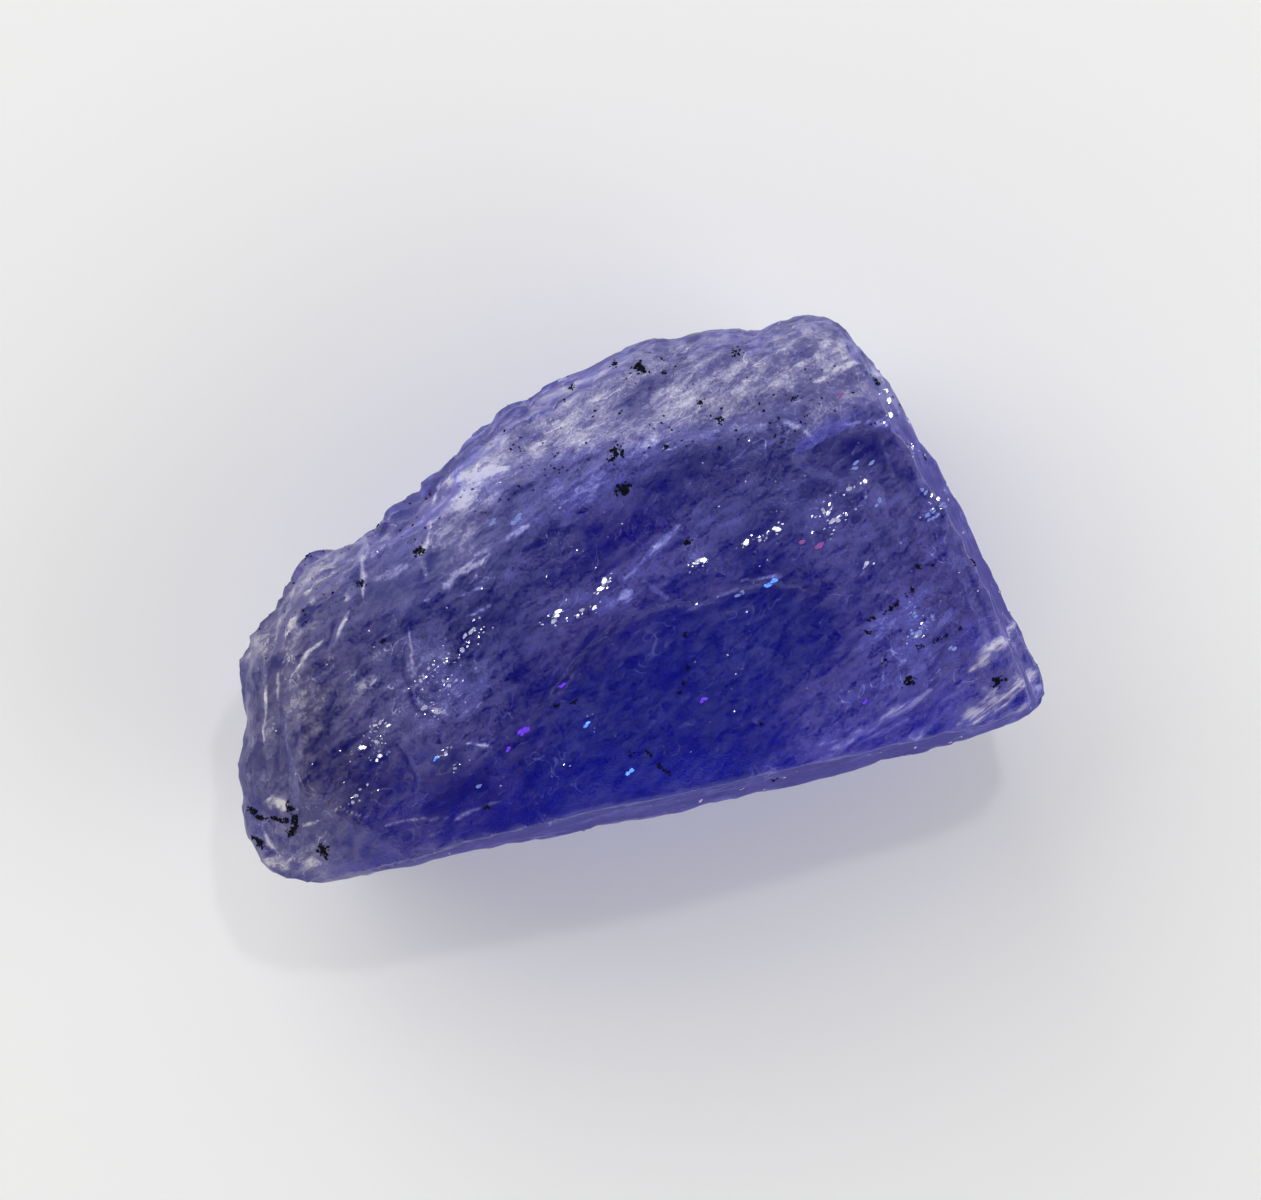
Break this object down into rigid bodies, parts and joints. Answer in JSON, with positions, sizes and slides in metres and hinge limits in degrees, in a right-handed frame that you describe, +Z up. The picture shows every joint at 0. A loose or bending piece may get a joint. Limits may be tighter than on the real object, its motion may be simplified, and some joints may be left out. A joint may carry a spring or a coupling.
{
  "type": "rough tanzanite crystal",
  "caption": "Rough violet-blue gem crystal, broken and etched, with a clear cleavage window, growth steps and frosted upper edge; rests on its flat cleavage face.",
  "frame": {"origin": "middle of the stone's plan box, on the flat cleavage face that it rests on", "axes": "+X along the long lower edge towards the broad right end, +Y across towards the crest, +Z up through the broad front"},
  "size_m": [0.0204, 0.0116, 0.0087],
  "materials": {
    "crystal": "see-through violet-blue crystal, glassy on its broken faces and frosted along its upper edge"
  },
  "bodies": {
    "root": {"stone": "crystal"}
  },
  "joints": []
}
